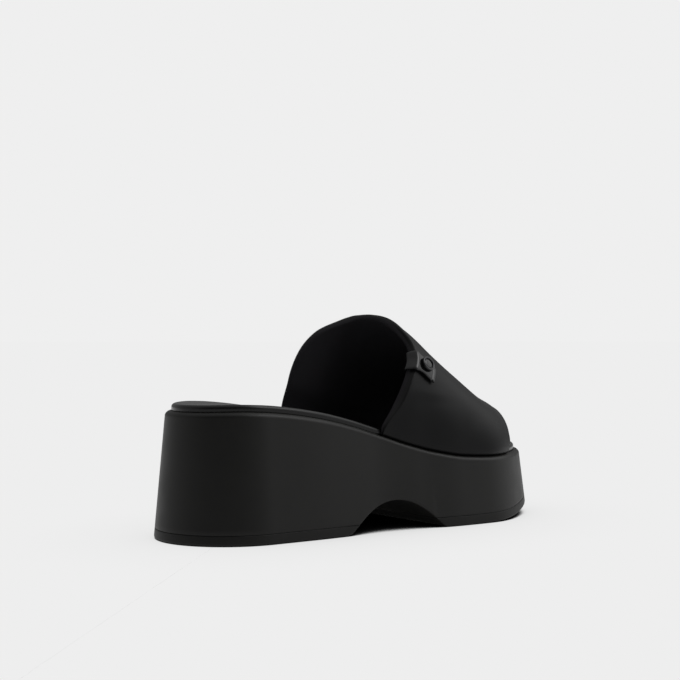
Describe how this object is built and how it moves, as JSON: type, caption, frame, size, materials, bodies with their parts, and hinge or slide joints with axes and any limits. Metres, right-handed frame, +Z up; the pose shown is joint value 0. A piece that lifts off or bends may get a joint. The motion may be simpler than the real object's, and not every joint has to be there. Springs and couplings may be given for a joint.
{
  "type": "platform wedge slide sandal",
  "caption": "Black platform wedge slide for the right foot: thick flared sole with a low arch through its waist, wrapped footbed and one wide padded band, open at heel and toe.",
  "frame": {"origin": "on the floor, under the middle of the heel seat", "axes": "+X towards the toe, +Y towards the big-toe side of the right foot, +Z up"},
  "size_m": [0.2668, 0.1061, 0.1271],
  "materials": {
    "sole_rubber": "matte moulded rubber",
    "platform_foam": "satin skin on moulded foam",
    "footbed_wrap": "smooth glossy wrap",
    "band_leather": "soft satin, finely grained",
    "tab_patent": "patent",
    "badge_enamel": "glossy plain disc in a polished ring"
  },
  "bodies": {
    "root": {"outsole_heel": "sole_rubber", "outsole_forefoot": "sole_rubber", "platform": "platform_foam", "footbed": "footbed_wrap", "upper_band": "band_leather", "badge_tab": "tab_patent", "badge": "badge_enamel"}
  },
  "joints": []
}
